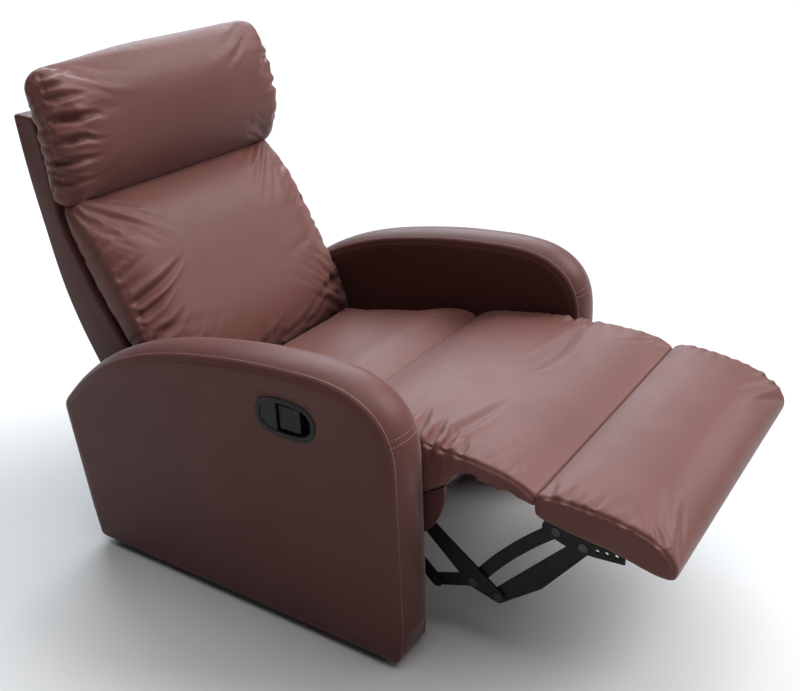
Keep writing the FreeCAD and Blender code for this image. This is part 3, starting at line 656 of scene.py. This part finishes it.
def arm_stitching(name, side):
    """The rows of thread along the band's edges, and the two rows at the cross seam on the front."""
    loop = arm_loop()
    away = outward(loop)
    half = (ARM_OUT - ARM_IN) / 2
    middle = (ARM_OUT + ARM_IN) / 2
    low = loop[:, 1] < ARM_BOTTOM + 12
    start = int(np.argmax(np.roll(low, 1) & ~low))
    run = [(start + i) % len(loop) for i in range(int(np.sum(~low)))]
    rows = []
    for share in (-STITCH_SHARE, STITCH_SHARE):
        rise = crown_rise(loop[run], share) + THREAD_LIFT
        line = place(side * (middle + share * half), loop[run] + away[run] * rise[:, None])
        ups = np.stack([np.zeros(len(run)), away[run, 0], away[run, 1]], axis=1)
        rows.append(stitch_row(name, line, ups, THREAD))
    seam = cross_seam(loop)
    for shift in (-1, 1):
        k = (seam + shift) % len(loop)
        shares = np.linspace(-0.9, 0.9, 20)
        rise = ARM_CROWN * (1 - np.abs(shares) ** CROWN_POWER) + THREAD_LIFT
        line = place(side * (middle + shares * half), loop[k] + away[k] * rise[:, None])
        ups = np.tile([0, away[k, 0], away[k, 1]], (len(shares), 1))
        rows.append(stitch_row(name, line, ups, THREAD))
    return join(rows, name)


def join(pieces, name):
    """One piece from several, with the first one's material."""
    work = bmesh.new()
    for piece in pieces:
        work.from_mesh(piece.data)
    mesh = bpy.data.meshes.new(name)
    work.to_mesh(mesh)
    work.free()
    mesh.materials.append(pieces[0].data.materials[0])
    mesh.shade_smooth()
    for piece in pieces:
        bpy.data.objects.remove(piece)
    made = bpy.data.objects.new(name, mesh)
    bpy.context.scene.collection.objects.link(made)
    return made


def arms():
    for name, side in (("left", 1), ("right", -1)):
        piece = arm("arm_leather_" + name, side)
        loop = arm_loop()
        k = cross_seam(loop)
        seam = place(side * np.array([ARM_IN + 2, ARM_OUT - 2]), loop[k] + outward(loop)[k] * 6)
        groove(piece, seam, 4.0, 1.6)
        if side < 0:
            handle_hole(piece)
        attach(piece, "base")
        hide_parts("arm_cover_" + name)
        thread = arm_stitching("arm_stitching_" + name, side)
        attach(thread, "base")


# ---------------------------------------------------------------- seat
PAD_HALF = 299.0
REST_HALF = 316.0
SEAT_SPLIT = 225.0           # the depth of the seam behind the middle section
REST_SPLIT = -212.0          # the depth of the seam in front of it
SEAM_OVERLAP = 2.5           # how far sections pull away from the seam between them
FACE_BAND = 9.0              # how near a seam an end face has to be for it to be held
PAD_ROUNDING = 14
REST_ROUNDING = 12


def held_below(points, ups):
    return np.clip((-ups[:, 2] - 0.35) / 0.3, 0, 1)


def held_section(*splits):
    """Holds a section's underside, and its end faces at the cross seams."""
    def hold(points, ups):
        share = held_below(points, ups)
        depth = (points[:, 1] - ARM_FRONT) / MM
        for split in splits:
            near = np.abs(depth - split) < FACE_BAND
            share = np.maximum(share, near * np.clip((np.abs(ups[:, 1]) - 0.6) / 0.2, 0, 1))
        return share
    return hold


def is_top(loop, away):
    return away[:, 1] > 0.35


def dress_seat_piece(piece, *replaced):
    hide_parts(*replaced)


def seat_cushion():
    """The rear section of the seat, between the arms."""
    front = SEAT_SPLIT - SEAM_OVERLAP
    top = [(front, 372), (SEAT_SPLIT + 18, 379), (330, 367), (460, 341), (560, 321), (604, 314)]
    rear = [(604, 314), (604, 262)]
    under = [(604, 262), (front, 292)]
    face = [(front, 292), (front, 372)]
    loop = closed_loop([top, rear, under, face], reach=1.6)
    piece = loft("seat_section_rear", loop, PAD_HALF - 2, SEAT_LEATHER, PAD_ROUNDING)
    inflate(piece, held_section(SEAT_SPLIT), cap=12)
    seam = place(np.linspace(-270, 270, 12), (SEAT_SPLIT + 6, 374))
    gather(piece, seam, 60, 40, 1.2, seed=3)
    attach(piece, "seat")
    dress_seat_piece(piece, "seat_cushion")


def middle_section():
    """The section from the seat over the fold to the footrest's seam."""
    rear_at, front_at = SEAT_SPLIT + SEAM_OVERLAP, REST_SPLIT - SEAM_OVERLAP
    top = [(rear_at, 370), (SEAT_SPLIT - 18, 384), (128, 402), (60, 412), (-20, 416), (-117, 414),
           (-170, 408), (-198, 398), (front_at, 388)]
    front = [(front_at, 388), (front_at, 364)]
    under = [(front_at, 364), (-117, 384), (-66, 374), (-44, 346), (8, 312), (rear_at, 290)]
    rear = [(rear_at, 290), (rear_at, 370)]
    loop = closed_loop([top, front, under, rear], reach=1.6)
    piece = loft("seat_section_middle", loop, PAD_HALF + 3, SEAT_LEATHER, PAD_ROUNDING)
    seams = side_seams(loop, PAD_HALF + 3, PAD_ROUNDING, 45, is_top)
    wide = ((-215, 1.062), (-10, 1.0))
    set_coords(piece, widened(coords(piece), wide))
    seams = [widened(seam, wide) for seam in seams]
    inflate(piece, held_section(SEAT_SPLIT, REST_SPLIT), seams, cap=13)
    for seam, seed in zip(seams, (5, 6)):
        line = on_surface(piece, seam)
        groove(piece, line, 3.5, 2.0)
        gather(piece, line, 24, 42, 3.2, seed=seed)
    creased(piece, MIDDLE_FOLDS)
    dress_seat_piece(piece, "front_cushion", "bridge_cushion")
    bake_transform(piece)


def footrest_section():
    """The front pad: a crowned top over a narrow side panel, rounded at the nose."""
    rear_at = REST_SPLIT + SEAM_OVERLAP
    top = [(rear_at, 388), (REST_SPLIT - 14, 397), (-262, 400), (-330, 394), (-394, 378), (-430, 354),
           (-442, 330)]
    nose = [(-442, 330), (-440, 307)]
    under = [(-440, 307), (-413, 308), (-353, 325), (-286, 337), (rear_at, 354)]
    rear = [(rear_at, 354), (rear_at, 388)]
    loop = closed_loop([top, nose, under, rear], reach=1.6)
    piece = loft("footrest_section", loop, REST_HALF, SEAT_LEATHER, REST_ROUNDING)
    seams = side_seams(loop, REST_HALF, REST_ROUNDING, 45, lambda line, away: away[:, 1] > 0.1)
    wide = ((-440, 0.985), (-212, 1.02))
    set_coords(piece, widened(coords(piece), wide))
    seams = [widened(seam, wide) for seam in seams]
    inflate(piece, held_section(REST_SPLIT), seams, cap=12)
    for seam, seed in zip(seams, (8, 9)):
        line = on_surface(piece, seam)
        groove(piece, line, 3.5, 2.2)
        gather(piece, line, 20, 30, 2.8, seed=seed)
    creased(piece, FOOTREST_FOLDS)
    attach(piece, "footrest")
    dress_seat_piece(piece, "footrest_cushion")


MIDDLE_FOLDS = (
    ((-303, 26, 404), (-180, 56, 414), 9, 9.0), ((-303, -8, 404), (-205, 10, 416), 8, 9.5),
    ((-303, -40, 404), (-226, -22, 416), 7, 7.5), ((-303, -68, 404), (-244, -58, 416), 6, 5.0),
    ((-268, -24, 416), (-70, -62, 416), 11, 3.8), ((0, -31, 416), (303, -26, 412), 17, 3.6),
    ((303, -8, 408), (232, 0, 416), 8, 6.0), ((303, -44, 408), (244, -52, 416), 7, 5.0),
    ((-90, 46, 413), (16, 16, 415), 14, 1.8),
)
FOOTREST_FOLDS = (
    ((-320, -234, 392), (-262, -222, 398), 7, 4.0), ((-320, -262, 392), (-246, -262, 399), 6, 3.2),
    ((-318, -300, 390), (-258, -310, 398), 6, 3.2), ((-317, -352, 384), (-264, -358, 392), 7, 3.2),
    ((-310, -414, 362), (-272, -384, 380), 7, 3.8), ((310, -414, 362), (276, -384, 380), 7, 3.8),
)


# ---------------------------------------------------------------- back
BACK_SEAM = [(652, 290), (697, 423), (757, 516), (798, 595), (830, 670), (845, 780), (857, 868)]
BACK_REAR = [(914, 872), (900, 757), (879, 645), (856, 540), (814, 430), (760, 330), (722, 262)]
LUMBAR_HALF = 303.0
LUMBAR_ROUNDING = 34
HEAD_HALF = 322.0
HEAD_ROUNDING = 44
PILLOW_RISE = 15.0           # how much higher the pillow's filling lies on the left than at its right end


def back_shell():
    """The leather shell behind the cushions: flat sides, a gently padded rear."""
    top = [BACK_SEAM[-1], BACK_REAR[0]]
    bottom = [BACK_REAR[-1], BACK_SEAM[0]]
    loop = closed_loop([BACK_SEAM, top, BACK_REAR, bottom], reach=1.2)
    piece = loft("back_shell", loop, 304, BACK_LEATHER, 6)
    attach(piece, "back")
    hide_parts("back_cover")


def held_behind(points, ups):
    return np.clip((ups[:, 1] - 0.3) / 0.3, 0, 1)


def is_front(loop, away):
    return away[:, 0] < 0.2


def dress_back_piece(replaced):
    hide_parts(replaced)


def lumbar_cushion():
    """The long lower cushion, with its foot on the seat."""
    rear = [(655, 290), (700, 425), (762, 518), (802, 598), (829, 657), (836, 700)]
    top = [(836, 700), (818, 712), (796, 714)]
    front = [(796, 714), (744, 662), (690, 580), (640, 489), (596, 404), (572, 334)]
    base = [(572, 334), (580, 302), (655, 290)]
    loop = closed_loop([rear, top, front, base])
    piece = loft("back_cushion_lower", loop, LUMBAR_HALF, SEAT_LEATHER, LUMBAR_ROUNDING)
    seams = side_seams(loop, LUMBAR_HALF, LUMBAR_ROUNDING, 72, is_front)
    inflate(piece, held_behind, seams, cap=16)
    for seam, seed in zip(seams, (11, 12)):
        line = on_surface(piece, seam)
        groove(piece, line, 4.0, 2.0)
        gather(piece, line, 30, 66, 4.4, seed=seed)
    creased(piece, LUMBAR_FOLDS)
    dress_back_piece("lumbar_cushion")
    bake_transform(piece)


def plumper(points):
    """The pillow's points, with its top raised from a little way in from its right end."""
    across = np.clip((points[:, 0] / MM + 300) / 260, 0, 1)
    high = np.clip((points[:, 2] / MM - 800) / 150, 0, 1)
    out = points.copy()
    out[:, 2] += PILLOW_RISE * MM * across ** 2 * (3 - 2 * across) * high ** 2
    return out


def head_cushion():
    """The headrest pillow, a fat roll with its leather gathered into both end seams."""
    rear = [(840, 700), (848, 785), (858, 869), (872, 922)]
    front = [(872, 922), (860, 950), (832, 961), (802, 944), (776, 890), (761, 830), (761, 776),
             (775, 729), (801, 697), (840, 700)]
    loop = closed_loop([rear, front])
    piece = loft("headrest_pillow", loop, HEAD_HALF, SEAT_LEATHER, HEAD_ROUNDING)
    seams = side_seams(loop, HEAD_HALF, HEAD_ROUNDING, 76, lambda line, away: away[:, 0] < 0.85)
    set_coords(piece, plumper(coords(piece)))
    seams = [plumper(seam) for seam in seams]
    inflate(piece, held_behind, seams, cap=20)
    for seam, seed, height in zip(seams, (21, 22), (7.0, 4.0)):
        line = on_surface(piece, seam)
        groove(piece, line, 4.0, 2.4)
        gather(piece, line, 24, 84, height, seed=seed, lean=0.15)
    creased(piece, HEAD_FOLDS)
    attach(piece, "back")
    dress_back_piece("head_cushion")


LUMBAR_FOLDS = (
    ((-300, 672, 516), (-130, 680, 576), 9, 9.5), ((-300, 660, 492), (-186, 658, 540), 8, 8.0),
    ((-298, 632, 444), (-190, 636, 486), 9, 7.5), ((-294, 606, 398), (-160, 602, 426), 10, 6.0),
    ((300, 604, 392), (150, 590, 378), 10, 5.5), ((34, 562, 330), (184, 588, 394), 10, 6.5),
    ((-66, 562, 334), (66, 584, 398), 10, 5.0), ((300, 692, 580), (226, 688, 566), 8, 4.0),
    ((118, 562, 330), (222, 588, 388), 8, 4.6), ((-300, 700, 566), (-222, 706, 596), 8, 4.5),
)
HEAD_FOLDS = (
    ((-318, 806, 914), (-220, 784, 908), 7, 7.0), ((-318, 800, 876), (-196, 772, 860), 8, 10.0),
    ((-318, 798, 840), (-204, 766, 822), 7, 9.0), ((-318, 798, 804), (-216, 764, 796), 7, 8.0),
    ((-316, 800, 768), (-230, 770, 756), 7, 7.0), ((-314, 816, 950), (-232, 818, 962), 7, 6.0),
    ((-316, 806, 932), (-250, 796, 932), 6, 5.5), ((318, 800, 890), (250, 776, 882), 7, 5.0),
    ((318, 796, 830), (244, 766, 820), 7, 4.5),
)


# ---------------------------------------------------------------- studio
CAMERA_AT = (-1.524, -1.013, 1.280)
CAMERA_YAW, CAMERA_PITCH, CAMERA_ROLL = 56.21, 25.31, -1.84
CAMERA_LENS = 45.7
FLOOR_SIZE = 80
BACKDROP_RADIUS = 34
BACKDROP_DEPTH = 60


def place_camera():
    """The camera, turned to the right by its yaw from straight ahead, and downwards by its pitch."""
    yaw, pitch, roll = (math.radians(a) for a in (CAMERA_YAW, CAMERA_PITCH, CAMERA_ROLL))
    level = Vector((math.sin(yaw), math.cos(yaw), 0))
    right = Vector((math.cos(yaw), -math.sin(yaw), 0))
    ahead = level * math.cos(pitch) - Vector((0, 0, math.sin(pitch)))
    up = level * math.sin(pitch) + Vector((0, 0, math.cos(pitch)))
    turned_right = right * math.cos(roll) + up * math.sin(roll)
    turned_up = up * math.cos(roll) - right * math.sin(roll)
    camera = bpy.data.objects.new("camera", bpy.data.cameras.new("camera"))
    camera.data.lens = CAMERA_LENS
    camera.data.sensor_width = 36.0
    turned = Matrix((turned_right, turned_up, -ahead)).transposed().to_4x4()
    camera.matrix_world = Matrix.Translation(CAMERA_AT) @ turned
    bpy.context.scene.collection.objects.link(camera)
    bpy.context.scene.camera = camera


def studio():
    place_camera()
    bpy.ops.mesh.primitive_plane_add(size=FLOOR_SIZE, location=(0, 0, 0))
    ground = bpy.context.object
    ground.name = "studio_floor"
    ground.data.materials.append(floor_material())
    backdrop()

    world = bpy.data.worlds.new("studio")
    bpy.context.scene.world = world
    world.use_nodes = True
    sky = world.node_tree.nodes["Background"]
    sky.inputs["Color"].default_value = (0.95, 0.95, 1.0, 1)
    sky.inputs["Strength"].default_value = 0.085
    soft_sun("ceiling_light", (0.1, -0.15, 1.0), 2.4, 58, (1.0, 0.99, 0.98))
    soft_sun("far_window", (0.62, 0.42, 0.6), 3.6, 52, (0.83, 0.93, 1.0))
    soft_sun("front_window", (0.66, -0.5, 0.66), 3.7, 38, (1.0, 0.97, 0.97))
    bpy.context.scene.view_settings.view_transform = "Standard"


def backdrop():
    """A plain pale wall far around the floor, which the camera sees but which doesn't light the chair."""
    bpy.ops.mesh.primitive_cylinder_add(vertices=96, radius=BACKDROP_RADIUS, depth=BACKDROP_DEPTH,
                                        end_fill_type="NOTHING", location=(0, 0, 0))
    wall = bpy.context.object
    wall.name = "studio_backdrop"
    material = bpy.data.materials.new("backdrop")
    material.use_nodes = True
    nodes = material.node_tree.nodes
    nodes.clear()
    glow = nodes.new("ShaderNodeEmission")
    glow.inputs["Color"].default_value = (*grey(1), 1)
    out = nodes.new("ShaderNodeOutputMaterial")
    material.node_tree.links.new(glow.outputs[0], out.inputs["Surface"])
    wall.data.materials.append(material)
    for ray in ("diffuse", "glossy", "transmission", "volume_scatter", "shadow"):
        setattr(wall, "visible_" + ray, False)


def soft_sun(name, source, strength, spread_angle, colour):
    """Even light from a wide patch of sky in the direction of source."""
    data = bpy.data.lights.new(name, "SUN")
    data.energy = strength
    data.angle = math.radians(spread_angle)
    data.color = colour
    made = bpy.data.objects.new(name, data)
    made.rotation_euler = Vector(source).to_track_quat("Z", "Y").to_euler()
    bpy.context.scene.collection.objects.link(made)


dress_cad_nodes()
arms()
seat_cushion()
middle_section()
footrest_section()
back_shell()
lumbar_cushion()
head_cushion()
studio()
